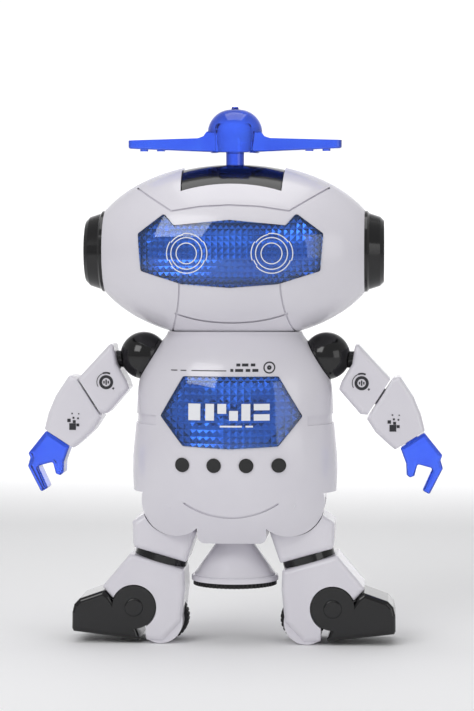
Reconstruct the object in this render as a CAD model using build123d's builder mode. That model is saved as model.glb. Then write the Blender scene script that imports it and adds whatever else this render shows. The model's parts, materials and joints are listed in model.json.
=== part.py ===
from build123d import *
import os
from math import cos, pi, radians, sin

os.makedirs("parts", exist_ok=True)

# Dancing toy robot that stands on its heels and spins on a cone lowered from its hips.
# Millimetres. +Z up, the robot faces -Y, its own left is +X. Origin on the ground,
# under the middle of the head.

# ---------------------------------------------------------------- driving sizes
wall = 2.0  # moulded shell walls
play = 0.3  # air between pieces on different bodies
fit = 0.05  # radial play of a running pin

# head: an ellipse turned about X, cut square at the ears
head_z = 164.0
head_half_width = 61.5
head_radius = 37.3
ear_plane = 54.4
head_split_y = 6.0
ear_end = 62.5
ear_radius = 14.5
crown_front = 25.0
crown_rear = 20.0
neck_radius = 12.0

# rotor on the crown
stem_radius = 3.8
rotor_low = 205.0
dome_base_z = 212.8
dome_radius = 11.5
rotor_top = 224.4
wing_span = 44.2
wing_low = 207.0
wing_root_low = 205.4
wing_top = 210.4
wing_thick = 3.4

# torso: ellipses (height, half width, half depth) from hip line to collar
torso_sections = [
    (63.7, 42.8, 29.5),
    (72.0, 43.2, 31.0),
    (84.0, 42.6, 31.8),
    (95.0, 41.6, 31.6),
    (110.0, 40.4, 29.6),
    (121.0, 35.6, 25.0),
    (131.0, 28.2, 18.0),
]
belly_sections = [(38.0, 37.5, 14.5), (48.0, 41.2, 22.5), (56.0, 42.4, 27.0)]
pelvis_half = 14.3
pelvis_depth = 17.0
pelvis_low = 42.9
lobe_radius = 14.2
lobe_depth = 20.0

# shoulders and arms; elbow and wrist are turning joints across the arm
shoulder_x = 38.5
shoulder_z = 120.2
ball_radius = 10.0
arm_depth = 10.0
shaft_radius = 2.5
elbow = (61.0, 103.2)
elbow_angle = -32.7
wrist = (73.9, 85.35)
wrist_angle = -57.2
hand_depth = 6.5

# legs: hip pin along Y, leg axis leans outwards
hip_x = 24.0
hip_z = 60.0
leg_lean = 16.0
leg_depth = 13.5
band_top = 24.0
band_thick = 3.0
ankle = (41.6, 15.2)
ankle_radius = 9.1
heel = (30.5, 9.3)
heel_radius = 9.3
wheel_x = 29.0
wheel_radius = 9.6
wheel_half = 2.9
web_half = 6.8

# cells behind the board
cell_radius = 7.15
cell_pitch = 14.5
cell_y = 15.7

# spinning base
cone_top = 42.2
cone_top_radius = 7.9
flange_top = 28.0
flange_radius = 18.3
grip_low = 23.8
spin_radius = 2.95

# gears
module = 0.8
arm_gear_teeth = 12
arm_pinion_teeth = 10
spin_gear_teeth = 15
spin_pinion_teeth = 9
spin_gear_low = 74.6
spin_gear_width = 3.2
spin_motor_radius = 5.0

BIG = 200.0
HEAD_AXIS = Axis((0, 0, head_z), (1, 0, 0))


# ---------------------------------------------------------------- shared helpers
def save(part, name):
    """Label one finished piece and write its STEP file."""
    part.label = name
    export_step(part, f"parts/{name}.step")


def save_pair(part, name):
    """Write the left piece and its mirror image, the right one."""
    save(part, f"left_{name}")
    save(mirror(part, about=Plane.YZ), f"right_{name}")


def front_plane(y=0.0):
    """Plane facing the front (-Y): its x is X and its y is Z."""
    return Plane(origin=(0, y, 0), x_dir=(1, 0, 0), z_dir=(0, -1, 0))


def prism(points, near, far, corner=0.0, inset=0.0):
    """Solid whose front outline is a closed polygon, from y=near to y=far."""
    with BuildPart() as block:
        with BuildSketch(front_plane(far)) as outline:
            with BuildLine():
                Polyline(*points, close=True)
            make_face()
            if corner:
                fillet(outline.vertices(), corner)
            if inset:
                offset(amount=-inset, kind=Kind.INTERSECTION)
        extrude(amount=far - near)
    return block.part


def rod_y(x, z, radius, near, far):
    """Round bar along Y from y=near to y=far."""
    with BuildPart() as bar:
        with BuildSketch(front_plane(far)):
            with Locations((x, z)):
                Circle(radius)
        extrude(amount=far - near)
    return bar.part


def rod_x(y, z, radius, start, end):
    """Round bar along X from x=start to x=end."""
    with BuildPart() as bar:
        with BuildSketch(Plane(origin=(start, y, z), z_dir=(1, 0, 0))):
            Circle(radius)
        extrude(amount=end - start)
    return bar.part


def rod_z(x, y, radius, low, high):
    """Round bar along Z from z=low to z=high."""
    with BuildPart() as bar:
        with BuildSketch(Plane.XY.offset(low)):
            with Locations((x, y)):
                Circle(radius)
        extrude(amount=high - low)
    return bar.part


def slab(x0, x1, y0, y1, z0, z1):
    """Rectangular block between two corners."""
    with BuildPart() as block:
        with BuildSketch(Plane.XY.offset(z0)):
            with Locations(((x0 + x1) / 2, (y0 + y1) / 2)):
                Rectangle(x1 - x0, y1 - y0)
        extrude(amount=z1 - z0)
    return block.part


def gear(teeth, plane, width, bore):
    """Spur gear with slack straight-flanked teeth, first tooth along the plane's x."""
    pitch = module * teeth / 2
    tip = pitch + 0.75 * module
    root = pitch - 1.1 * module
    half_root = 0.34 * pi * module * root / pitch / 1.1
    half_tip = 0.11 * pi * module
    with BuildPart() as wheel:
        with BuildSketch(plane):
            Circle(root)
            with PolarLocations(0, teeth):
                with BuildLine():
                    Polyline(
                        (root - 0.3, -half_root),
                        (tip, -half_tip),
                        (tip, half_tip),
                        (root - 0.3, half_root),
                        close=True,
                    )
                make_face()
            Circle(bore, mode=Mode.SUBTRACT)
        extrude(amount=width)
    return wheel.part


# ---------------------------------------------------------------- body volumes
def head_form(grow=0.0):
    """Head ellipsoid about X, grown or shrunk all over."""
    with BuildPart() as form:
        with BuildSketch(Plane(origin=(0, 0, head_z), x_dir=(1, 0, 0), z_dir=(0, -1, 0))):
            Ellipse(head_half_width + grow, head_radius + grow)
            Rectangle(2 * (ear_plane + grow), BIG, align=(Align.CENTER, Align.MIN), mode=Mode.INTERSECT)
        revolve(axis=HEAD_AXIS)
    return form.part


def torso_form(grow=0.0):
    """Upper torso as a loft of ellipses, grown or shrunk all over."""
    with BuildPart() as form:
        for height, half_width, half_depth in torso_sections:
            lift = grow if height == torso_sections[-1][0] else 0
            drop = -grow if height == torso_sections[0][0] else 0
            with BuildSketch(Plane.XY.offset(height + lift + drop)):
                Ellipse(half_width + grow, half_depth + grow)
        loft()
    return form.part


def lobe_form(grow=0.0):
    """Rounded hip lobe about the left hip pin."""
    with BuildPart() as lobe:
        with BuildSketch(front_plane(lobe_depth + grow)):
            with Locations((hip_x, hip_z)):
                Circle(lobe_radius + grow)
        extrude(amount=2 * (lobe_depth + grow))
        fillet(lobe.edges().filter_by(GeomType.CIRCLE), 5)
    return lobe.part


def belly_form(grow=0.0):
    """Front of the hips: one round belly over both lobes and the middle tongue."""
    top = torso_sections[0][0] + (0 if grow >= 0 else 2.5)
    with BuildPart() as form:
        for height, half_width, half_depth in belly_sections:
            with BuildSketch(Plane.XY.offset(height)):
                Ellipse(half_width + grow, half_depth + grow)
        with BuildSketch(Plane.XY.offset(top)):
            trim = 0 if grow >= 0 else -0.6
            Ellipse(torso_sections[0][1] + grow + trim, torso_sections[0][2] + grow + trim)
        loft()
    with BuildPart() as outline:
        with BuildSketch(front_plane(0)) as front:
            low = pelvis_low - grow
            with Locations((0, low)):
                Rectangle(2 * (pelvis_half + grow), top + 1 - low, align=(Align.CENTER, Align.MIN))
            fillet(front.vertices().group_by(Axis.Z)[0], 3)
            with Locations((0, hip_z)):
                Rectangle(2 * hip_x, top + 1 - hip_z, align=(Align.CENTER, Align.MIN))
            with Locations((-hip_x, hip_z), (hip_x, hip_z)):
                Circle(lobe_radius + grow)
        extrude(amount=40)
    return form.part & outline.part


def pelvis_form(grow=0.0):
    """Middle tongue of the hips, round at its foot."""
    half = pelvis_half + grow
    with BuildPart() as block:
        with BuildSketch(Plane.XY.offset(pelvis_low - grow)):
            RectangleRounded(2 * half, 2 * (pelvis_depth + grow), 6 + min(grow, 0))
        extrude(amount=30)
        fillet(block.faces().sort_by(Axis.Z)[0].edges(), 3)
    return block.part


def shoulder_form(side, radius):
    """Ball about one shoulder, its poles on the arm shaft."""
    return Pos(side * shoulder_x, 0, shoulder_z) * Rot(0, 90, 7) * Sphere(radius)


VISOR = [
    (0, 176.8),
    (22.8, 174.6),
    (27.0, 179.5),
    (38.0, 171.3),
    (36.8, 156.0),
    (19.5, 150.6),
    (0, 149.2),
]
CHEST = [(19.7, 112.8), (29.4, 96.3), (19.7, 84.2), (0, 83.2)]
PORTS = [-19.9, -6.65, 6.65, 19.9]
port_z = 76.4


def mirrored(points):
    """Close a half outline, listed from top middle to bottom middle, across X = 0."""
    return points + [(-x, z) for x, z in reversed(points) if x > 0]


def head_groove(points, cornered=False, depth=0.7, width=0.7):
    """Panel line: a thin band following a path seen from the front."""
    with BuildPart() as band:
        with BuildSketch(front_plane(0)):
            with BuildLine():
                if cornered:
                    Polyline(*points)
                else:
                    Spline(*points)
            trace(line_width=width)
        extrude(amount=BIG / 2)
    return band.part & (head_form(1) - head_form(-depth))


# ---------------------------------------------------------------- head
def make_head():
    """Shells, visor, crown plate, ears, rotor and neck."""
    skin = head_form() - head_form(-wall)
    crown_low = prism([(-20, 180), (20, 180), (24, 230), (-24, 230)], -crown_front, 4)
    crown_back = slab(-24, 24, 4, crown_rear, 180, 230)
    crown_hole = crown_low + crown_back
    visor_hole = prism(mirrored(VISOR), -60, -6, 1.2)
    visor_body = prism(mirrored(VISOR), -60, -6, 1.2, 0.2)
    neck = rod_z(0, 0, neck_radius, 110, 150)
    ear_bore = rod_x(0, head_z, 8, -70, 70)
    top_line = [(-40, 190.3), (-24, 180.4), (-12, 182.2), (0, 182.8), (12, 182.2), (24, 180.4), (40, 190.3)]
    low_left = [(-20.6, 150.9), (-23.6, 135.2), (-26.0, 130.0)]
    chin = [(-23.3, 138.6), (-12, 135.6), (0, 134.7), (12, 135.6), (23.3, 138.6)]
    grooves = [low_left, [(-x, z) for x, z in low_left], chin]
    skin = skin - crown_hole - neck - ear_bore
    front = split(skin, bisect_by=Plane.XZ.offset(-head_split_y), keep=Keep.TOP)
    rear = split(skin, bisect_by=Plane.XZ.offset(-head_split_y), keep=Keep.BOTTOM)
    front = front - visor_hole - head_groove(top_line, cornered=True)
    for path in grooves:
        front = front - head_groove(path)
    posts = [(-33, 183), (33, 183), (-33, 145), (33, 145)]
    inside = head_form(-wall / 2)
    screws = []
    for x, z in posts:
        surface = head_radius * (1 - (x / head_half_width) ** 2 - ((z - head_z) / head_radius) ** 2) ** 0.5
        front = front + (rod_y(x, z, 3.2, -60, head_split_y) & inside)
        rear = rear + (rod_y(x, z, 3.6, head_split_y, surface) & inside)
        front = front - rod_y(x, z, 1.2, head_split_y - 7, head_split_y)
        rear = rear - rod_y(x, z, 1.3, 0, 60) - rod_y(x, z, 2.6, surface - 5, 60)
        screws.append(rod_y(x, z, 1.2, head_split_y - 6, surface - 5) + rod_y(x, z, 2.3, surface - 5, surface - 3.2))
    save(front, "head_front_shell")
    save(rear, "head_rear_shell")
    lens = (head_form(0.7) - head_form(-1.2)) & visor_body
    save(lens, "visor_lens")
    backing = [(x * 1.03, 164 + (z - 164) * 1.06) for x, z in VISOR]
    save((head_form(-2.3) - head_form(-3.8)) & prism(mirrored(backing), -60, -6), "visor_reflector")
    board = slab(-24, 24, -24, -22.6, 154, 173)
    for x in (-17.3, 17.3):
        board = board + rod_y(x, 163.2, 2.5, -27, -23)
    save(board, "head_led_board")
    plate_front = prism([(-19.6, 180), (19.6, 180), (23.6, 230), (-23.6, 230)], -crown_front + 0.35, 4)
    plate = (plate_front + slab(-23.65, 23.65, 4, crown_rear - 0.3, 180, 230)) & (head_form(-0.9) - head_form(-3.4))
    save(plate - rod_z(0, 0, stem_radius + fit, 150, 230), "crown_plate")
    ear_top = Plane(origin=(0, 0, head_z), x_dir=(1, 0, 0), z_dir=(0, -1, 0))
    with BuildPart() as ear:
        with BuildSketch(ear_top):
            with BuildLine():
                Polyline(
                    (ear_plane - 4, 0),
                    (ear_plane - 4, 8),
                    (ear_plane, 8),
                    (ear_plane, 17.0),
                    (ear_plane + 1.2, 17.0),
                    (ear_plane + 2.0, 16.0),
                    (ear_end - 1.6, ear_radius),
                    (ear_end, ear_radius - 1.6),
                    (ear_end, 10.6),
                    (ear_end - 1.1, 9.6),
                    (ear_end - 1.1, 0),
                    close=True,
                )
            make_face()
        revolve(axis=HEAD_AXIS)
    save_pair(ear.part, "ear")
    with BuildPart() as collar:
        with BuildSketch(Plane.XY.offset(124.1)):
            Circle(neck_radius)
            Circle(7, mode=Mode.SUBTRACT)
        extrude(amount=8.4)
        with BuildSketch(Plane.XY.offset(132.5)):
            Circle(14.5)
            Circle(7, mode=Mode.SUBTRACT)
        extrude(amount=1.5)
    save(collar.part, "neck_collar")
    return screws


def wing_bar():
    """Both wings in one bar, thinner and narrower towards the tips."""
    half = [
        (0, wing_root_low),
        (dome_radius, wing_root_low),
        (wing_span + 1, wing_low),
        (wing_span + 1, wing_top),
        (dome_radius + 3.5, wing_top + 0.7),
        (dome_radius + 1.2, wing_top + 1.5),
        (dome_radius - 0.2, wing_top + 3.5),
        (0, wing_top + 3.5),
    ]
    with BuildPart() as bar:
        with BuildSketch(Plane.XY.offset(wing_root_low - 1)) as plan:
            with BuildLine():
                RadiusArc((-wing_span, -4.5), (-wing_span, 4.5), 16)
                Line((-wing_span, 4.5), (-12, 8.2))
                Line((-12, 8.2), (12, 8.2))
                Line((12, 8.2), (wing_span, 4.5))
                RadiusArc((wing_span, 4.5), (wing_span, -4.5), 16)
                Line((wing_span, -4.5), (12, -8.2))
                Line((12, -8.2), (-12, -8.2))
                Line((-12, -8.2), (-wing_span, -4.5))
            make_face()
            fillet(plan.vertices(), 2.5)
        extrude(amount=wing_thick + 6)
    wings = bar.part & prism(mirrored(half), -20, 20)
    long_edges = wings.faces().sort_by(Axis.Z)[0].edges().filter_by(Axis.Z, reverse=True)
    return wings.fillet(0.9, long_edges)


def make_rotor():
    """Dome, hub, stem and two wings in one clear moulding, and the clip under it."""
    neck = stem_radius - 1.2
    with BuildPart() as hub:
        with BuildSketch(Plane.XZ):
            with BuildLine():
                Polyline(
                    (0, 190),
                    (neck, 190),
                    (neck, 192),
                    (stem_radius, 192),
                    (stem_radius, rotor_low),
                    (10.0, rotor_low),
                    (10.8, rotor_low + 0.8),
                    (dome_radius, dome_base_z),
                )
                ThreePointArc((dome_radius, dome_base_z), (8.3, 220.8), (1.6, rotor_top - 1.0))
                Polyline((1.6, rotor_top - 1.0), (1.3, rotor_top), (0, rotor_top), (0, 190))
            make_face()
        revolve(axis=Axis.Z)
        with BuildSketch(front_plane(-6.0)):
            with Locations((0, 211.0)):
                RectangleRounded(15, 12, 1.5)
        extrude(amount=5.6)
    rotor = hub.part + wing_bar()
    for x in (-38.3, -31.2, 31.2, 38.3):
        rotor = rotor + rod_z(x, 0, 1.7, wing_low - 1.1, wing_low + 1)
    save(rotor, "rotor")
    with BuildPart() as clip:
        with BuildSketch(Plane.XY.offset(190.3)):
            Circle(7)
            Circle(neck, mode=Mode.SUBTRACT)
        extrude(amount=1.4)
    save(clip.part, "rotor_clip")


# ---------------------------------------------------------------- torso
def make_torso(case_screws):
    """Front and rear shells with everything that is fixed inside them."""
    cradle = head_form(0.5)
    behind = slab(-60, 60, 0, 60, 30, 80)
    rear_hips = (lobe_form() + mirror(lobe_form(), about=Plane.YZ) + pelvis_form()) & behind
    rear_hollow = lobe_form(-wall) + mirror(lobe_form(-wall), about=Plane.YZ) + pelvis_form(-wall)
    hollow = torso_form(-wall) + (rear_hollow & behind) + belly_form(-wall)
    body = torso_form() + rear_hips + belly_form() - hollow
    # the top sinks into a cradle under the head
    body = body - cradle
    cradle_wall = (torso_form() & head_form(0.5 + wall)) - cradle
    body = body + cradle_wall
    for side in (-1, 1):
        x = side * hip_x
        slot_from = min(x - side * 8, x + side * 40)
        slot_to = max(x - side * 8, x + side * 40)
        body = body - slab(slot_from, slot_to, -3.7, 3.7, 40, hip_z + 1)
        body = body + rod_y(x, hip_z, 2.5, -22.4, lobe_depth - 1)
        body = body - shoulder_form(side, ball_radius + 0.4)
    body = body - rod_z(0, 0, neck_radius, 118, 140) - rod_z(0, 0, spin_radius + 0.4, 30, 60)
    body = body - rod_x(0, shoulder_z, shaft_radius + 0.3, -60, 60)
    front = split(body, bisect_by=Plane.XZ, keep=Keep.TOP)
    rear = split(body, bisect_by=Plane.XZ, keep=Keep.BOTTOM)
    if front.bounding_box().max.Y > 1:
        front, rear = rear, front
    window = prism(mirrored(CHEST), -60, -12, 1.0)
    front = front - window
    for x in PORTS:
        front = front - rod_y(x, port_z, 3.0, -60, -20)
    belt = torso_form(0.5) - torso_form(-0.6)
    belt_band = slab(-60, 60, -60, 60, 92.2, 96.2) & belt
    window_keep = prism([(-31.5, 85), (31.5, 85), (31.5, 101), (-31.5, 101)], -60, 0)
    front = front - (belt_band - window_keep)
    rear = rear - (belt_band & slab(-60, 60, 0, 60, 90, 100))
    smile = [(-19.5, 60.4), (-10, 56.0), (0, 54.5), (10, 56.0), (19.5, 60.4)]
    with BuildPart() as smile_cut:
        with BuildSketch(front_plane(0)):
            with BuildLine():
                Spline(*smile)
            trace(line_width=0.8)
        extrude(amount=40)
    front = front - (smile_cut.part & (belly_form(0.4) - belly_form(-0.6)))
    door_zone = slab(-23, 23, 10, 60, 64.5, 114)
    door = (torso_form() - torso_form(-wall)) & slab(-22.7, 22.7, 10, 60, 64.8, 113.7)
    rear = rear - door_zone
    screw_rows = [(-33.5, 70), (33.5, 70), (-31, 108), (31, 108)]
    inside = torso_form(-wall / 2)
    for x, z in screw_rows:
        surface = rear_surface(x, z)
        rear = rear + (rod_y(x, z, 3.4, 0, surface) & inside)
        front = front + (rod_y(x, z, 3.0, -60, 0) & inside)
        rear = rear - rod_y(x, z, 1.3, 0, 60) - rod_y(x, z, 2.6, surface - 5, 60)
        front = front - rod_y(x, z, 1.2, -7, 0)
        case_screws.append(rod_y(x, z, 1.2, -6, surface - 5) + rod_y(x, z, 2.3, surface - 5, surface - 3.2))
    rear = rear - slab(-3.4, 7.4, 10, 30, 50.6, 55.0)
    save(front, "torso_front_shell")
    save(rear, "torso_rear_shell")
    save(Compound(children=case_screws), "case_screws")
    door = door + rod_y(0, 68.6, 3.6, 25.0, 29.5) - rod_y(0, 68.6, 2.5, 27.4, 60) - rod_y(0, 68.6, 1.3, 20, 60)
    save(door, "battery_door")
    save(rod_y(0, 68.6, 2.3, 27.4, 29.4) + rod_y(0, 68.6, 1.2, 24.8, 27.4), "door_screw")
    knob = slab(-3, 3, 12.5, 18.4, 51.0, 54.6) + slab(-6, 6, 12.5, 14.6, 49.6, 56.0)
    save(knob, "switch_knob")
    lens_body = prism(mirrored(CHEST), -60, -12, 1.0, 0.2)
    save((torso_form(0.7) - torso_form(-1.2)) & lens_body, "chest_lens")
    backing = prism(mirrored([(x * 1.03, 98 + (z - 98) * 1.06) for x, z in CHEST]), -60, -12)
    save((torso_form(-2.3) - torso_form(-3.8)) & backing, "chest_reflector")
    strip = slab(-25, 25, -60, -10, port_z - 4.6, port_z + 4.8)
    speaker_ring = (torso_form(-2.2) - torso_form(-3.4)) & strip
    for x in PORTS:
        plug = rod_y(x, port_z, 2.9, -60, -20) & (torso_form(0.6) - torso_form(-3.4))
        speaker_ring = speaker_ring + plug
    save(speaker_ring, "speaker_ports")


def rear_surface(x, z):
    """Depth of the torso's rear surface at a place seen from behind."""
    for (z0, w0, d0), (z1, w1, d1) in zip(torso_sections, torso_sections[1:]):
        if z0 <= z <= z1:
            t = (z - z0) / (z1 - z0)
            half_width = w0 + t * (w1 - w0)
            half_depth = d0 + t * (d1 - d0)
            return half_depth * (1 - (x / half_width) ** 2) ** 0.5
    return 0.0


# ---------------------------------------------------------------- torso inner pieces
def make_torso_insides():
    """Board, speaker, cells, chest lights and the arm drive."""
    save(slab(-25, 25, 7.15, 8.3, 66.5, 100), "main_board")
    save(slab(-15, 15, -21.5, -20.2, 86, 106), "chest_led_board")
    with BuildPart() as speaker:
        with BuildSketch(front_plane(-14.9)):
            with Locations((0, 80)):
                Circle(8)
        extrude(amount=1.6)
        with BuildSketch(front_plane(-16.5)):
            with Locations((0, 80)):
                Circle(13)
        extrude(amount=2.5)
    save(speaker.part, "speaker")
    cells = []
    for x in (-cell_pitch, 0, cell_pitch):
        can = rod_z(x, cell_y, cell_radius, 66.0, 115.0)
        cells.append(can + rod_z(x, cell_y, 2.7, 115.0, 116.5))
    save(Compound(children=cells), "battery_cells")
    pinion_z = shoulder_z - module * (arm_gear_teeth + arm_pinion_teeth) / 2
    drive = Plane(origin=(20, 0, shoulder_z), x_dir=(0, 0, -1), z_dir=(1, 0, 0))
    save(gear(arm_gear_teeth, drive, 3, shaft_radius), "arm_gear")
    lower = Plane(origin=(20, 0, pinion_z), x_dir=(0, 0, -1), z_dir=(1, 0, 0))
    save(gear(arm_pinion_teeth, lower, 3, 1.0), "arm_pinion")
    motor = rod_x(0, pinion_z, 5.8, -4, 18.5) + rod_x(0, pinion_z, 0.95, 18.5, 23.4)
    save(motor, "arm_motor")
    save(rod_x(0, shoulder_z, shaft_radius, -shoulder_x - 6, shoulder_x + 6), "arm_shaft")


# ---------------------------------------------------------------- arms
def tilted(centre, angle):
    """Plane across an arm joint: its normal points down the arm."""
    normal = (cos(radians(angle)), 0, sin(radians(angle)))
    return Plane(origin=(centre[0], 0, centre[1]), x_dir=(0, 1, 0), z_dir=normal)


def disc_on(plane, low, high, radius, bore=0.0):
    """Round disc or ring on a joint plane, between two heights along its normal."""
    with BuildPart() as disc:
        with BuildSketch(plane.offset(low)):
            Circle(radius)
            if bore:
                Circle(bore, mode=Mode.SUBTRACT)
        extrude(amount=high - low)
    return disc.part


def rounded_prism(points, half_depth, corner, edge):
    """Moulded block: front outline with round corners and soft front and rear edges."""
    with BuildPart() as block:
        with BuildSketch(front_plane(half_depth)) as outline:
            with BuildLine():
                Polyline(*points, close=True)
            make_face()
            fillet(outline.vertices(), corner)
        extrude(amount=2 * half_depth)
        fillet(block.faces().filter_by(Axis.Y).edges(), edge)
    return block.part


def inner_prism(points, half_depth, inset):
    """Hollow for a moulded block, its outline drawn in all round."""
    with BuildPart() as block:
        with BuildSketch(front_plane(half_depth)):
            with BuildLine():
                Polyline(*points, close=True)
            make_face()
            offset(amount=-inset, kind=Kind.INTERSECTION)
        extrude(amount=2 * half_depth)
    return block.part


def halves(part):
    """Front (-Y) and rear (+Y) halves of a moulding."""
    front = split(part, bisect_by=Plane.XZ, keep=Keep.TOP)
    rear = split(part, bisect_by=Plane.XZ, keep=Keep.BOTTOM)
    if front.bounding_box().center().Y > rear.bounding_box().center().Y:
        return rear, front
    return front, rear


def from_shoulder(points):
    """Outline given from the shoulder centre, moved to its place."""
    return [(shoulder_x + x, shoulder_z + z) for x, z in points]


def make_arm():
    """Left arm: ball, upper arm halves, forearm halves and clear claw."""
    elbow_plane = tilted(elbow, elbow_angle)
    wrist_plane = tilted(wrist, wrist_angle)
    ball = shoulder_form(1, ball_radius)
    ball = ball + rod_x(0, shoulder_z - 1.5, 3.5, shoulder_x, shoulder_x + 16)
    ball = ball - rod_x(0, shoulder_z, shaft_radius, 0, shoulder_x + 6)
    save_pair(ball, "shoulder_ball")

    upper = from_shoulder(
        [(12.3, 6.4), (26.8, -9.2), (27.4, -11.0), (18.6, -24.3), (14.4, -24.0), (5.4, -13.6), (6.5, -10.4), (10.9, -3.1)]
    )
    body = rounded_prism(upper, arm_depth, 1.2, 2.4) - inner_prism(upper, arm_depth - wall, wall)
    body = split(body, bisect_by=elbow_plane.offset(-0.5), keep=Keep.BOTTOM)
    body = body + (disc_on(elbow_plane, -2.5, -0.5, 7.6) & rounded_prism(upper, arm_depth, 1.2, 2.4))
    body = body - disc_on(elbow_plane, -8, 2, 4.2)
    body = body - rod_x(0, shoulder_z - 1.5, 3.5, shoulder_x, shoulder_x + 16)
    body = body - shoulder_form(1, ball_radius)
    front, rear = halves(body)
    save_pair(front, "upper_arm_front")
    save_pair(rear, "upper_arm_rear")

    fore = from_shoulder(
        [(27.0, -9.0), (30.7, -8.1), (36.5, -16.8), (39.6, -24.2), (41.4, -31.5), (38, -34.6), (29.9, -39.6), (25.9, -36.3), (20.7, -31.5), (16.8, -25.6)]
    )
    body = rounded_prism(fore, arm_depth, 1.2, 2.4) - inner_prism(fore, arm_depth - wall, wall)
    body = split(body, bisect_by=elbow_plane.offset(0.3), keep=Keep.TOP)
    body = body + (disc_on(elbow_plane, 0.3, 2.3, 7.6) & rounded_prism(fore, arm_depth, 1.2, 2.4))
    body = body + disc_on(elbow_plane, -3.4, 2.0, 3.9) + disc_on(elbow_plane, -4.4, -3.4, 5.2)
    body = split(body, bisect_by=wrist_plane.offset(-0.4), keep=Keep.BOTTOM)
    body = body + (disc_on(wrist_plane, -2.4, -0.4, 5.4) & rounded_prism(fore, arm_depth, 1.2, 2.4))
    body = body - disc_on(wrist_plane, -9, 2, 3.2)
    front, rear = halves(body)
    save_pair(front, "forearm_front")
    save_pair(rear, "forearm_rear")

    claw = from_shoulder(
        [
            (41.0, -31.7),
            (48.6, -41.2),
            (47.8, -43.2),
            (48.8, -46.7),
            (43.2, -57.6),
            (40.2, -55.9),
            (44.4, -46.6),
            (38.2, -45.0),
            (36.9, -49.9),
            (35.0, -50.6),
            (33.6, -49.4),
            (33.4, -44.7),
            (31.0, -38.2),
        ]
    )
    hand = rounded_prism(claw, hand_depth, 0.8, 1.4)
    hand = split(hand, bisect_by=wrist_plane.offset(0.3), keep=Keep.TOP)
    hand = hand + disc_on(wrist_plane, -3.2, 1.5, 2.9) + disc_on(wrist_plane, -4.2, -3.2, 4.2)
    save_pair(hand, "hand")


# ---------------------------------------------------------------- legs
def on_leg(across, down):
    """Front-view place on the left leg: across and down its leaning axis."""
    lean = radians(leg_lean)
    x = hip_x + down * sin(lean) + across * cos(lean)
    z = hip_z - down * cos(lean) + across * sin(lean)
    return (x, z)


def make_leg():
    """Left leg: thigh, band, shin halves, shoe and heel wheel."""
    lobe_space = lobe_form(0.35)
    cup = [(36.9, 54.6), (42.3, 51.0), (42.0, 42.0), on_leg(11.3, band_top - 0.2), on_leg(-11.3, band_top - 0.2), (15.3, 46.8), (18, 56)]
    thigh = rounded_prism(cup, leg_depth, 0.8, 2.6) - rod_y(hip_x, hip_z, lobe_radius + 0.35, -30, 30)
    tongue = prism([on_leg(-6, 0), on_leg(6, 0), on_leg(6, 19), on_leg(-6, 19)], -3.2, 3.2)
    thigh = thigh + tongue + rod_y(hip_x, hip_z, 6, -3.2, 3.2)
    thigh = thigh - rod_y(hip_x, hip_z, 2.5 + fit, -10, 10)
    save_pair(thigh, "thigh")

    across_leg = tilted(on_leg(0, 0), -90 + leg_lean)
    band = disc_on(across_leg, band_top, band_top + band_thick, 11.2)
    save_pair(band, "knee_band")

    shin_line = [
        on_leg(-11.3, band_top + band_thick),
        on_leg(12.4, band_top + band_thick),
        (55.0, 23.6),
        (50.4, 18.6),
        (40.2, 7.0),
        (36.2, 1.2),
        (29.5, 1.0),
        (21.6, 9.3),
        (20.2, 22.7),
    ]
    shell = rounded_prism(shin_line, leg_depth, 0.8, 2.4) + (
        rod_y(heel[0], heel[1], heel_radius, -leg_depth + 1.4, leg_depth - 1.4)
    )
    beyond_web = slab(0, 80, -30, -web_half, -5, 60) + slab(0, 80, web_half, 30, -5, 60)
    cheek_space = rod_y(ankle[0], ankle[1], ankle_radius + 0.4, -30, 30) & beyond_web
    web = rod_y(ankle[0], ankle[1], ankle_radius - 0.6, -web_half, web_half)
    shell = shell - cheek_space + web
    shoe_sweep = rod_y(ankle[0], ankle[1], 15.4, -30, 30) & slab(36.6, 60, -30, 30, -5, 8)
    shell = shell - (shoe_sweep - rod_y(ankle[0], ankle[1], ankle_radius - 0.6, -30, 30))
    shell = shell + rod_y(ankle[0], ankle[1], 2.5, -leg_depth + 2.5, leg_depth - 2.5)
    wheel_space = rod_y(wheel_x, wheel_radius, wheel_radius + 0.6, -wheel_half - 0.4, wheel_half + 0.4)
    shell = shell - wheel_space
    shell = shell + rod_y(wheel_x, wheel_radius, 1.5, -5, 5)
    front, rear = halves(shell)
    save_pair(front, "shin_front")
    save_pair(rear, "shin_rear")

    toe = [(38.9, 1.3), (67.2, 4.7), (67.8, 6.0), (67.7, 12.6), (66.9, 16.0), (64.6, 18.5), (54.6, 22.0), (52, 20.0), (47, 12), (41, 7)]
    shoe = rounded_prism(toe, leg_depth - 0.2, 0.6, 1.8)
    shoe = shoe + rod_y(ankle[0], ankle[1], ankle_radius, -leg_depth, leg_depth)
    shoe = shoe - rod_y(ankle[0], ankle[1], ankle_radius, -web_half - 0.3, web_half + 0.3)
    shoe = shoe - shin_sweep(shin_line)
    shoe = shoe - rod_y(ankle[0], ankle[1], 2.5 + fit, -leg_depth + 2.2, leg_depth - 2.2)
    for y in (-leg_depth, leg_depth):
        with BuildPart() as boss:
            with BuildSketch(front_plane(y)):
                with Locations(ankle):
                    Circle(3.8)
            extrude(amount=0.9, both=True)
            fillet(boss.edges().filter_by(GeomType.CIRCLE), 0.7)
        shoe = shoe + boss.part
    save_pair(shoe, "shoe")

    with BuildPart() as wheel:
        with BuildSketch(front_plane(wheel_half)):
            with Locations((wheel_x, wheel_radius)):
                Circle(wheel_radius)
                with PolarLocations(wheel_radius, 30):
                    Circle(0.45, mode=Mode.SUBTRACT)
            with Locations((wheel_x, wheel_radius)):
                Circle(1.5 + fit, mode=Mode.SUBTRACT)
        extrude(amount=2 * wheel_half)
    save_pair(wheel.part, "heel_wheel")


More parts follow.
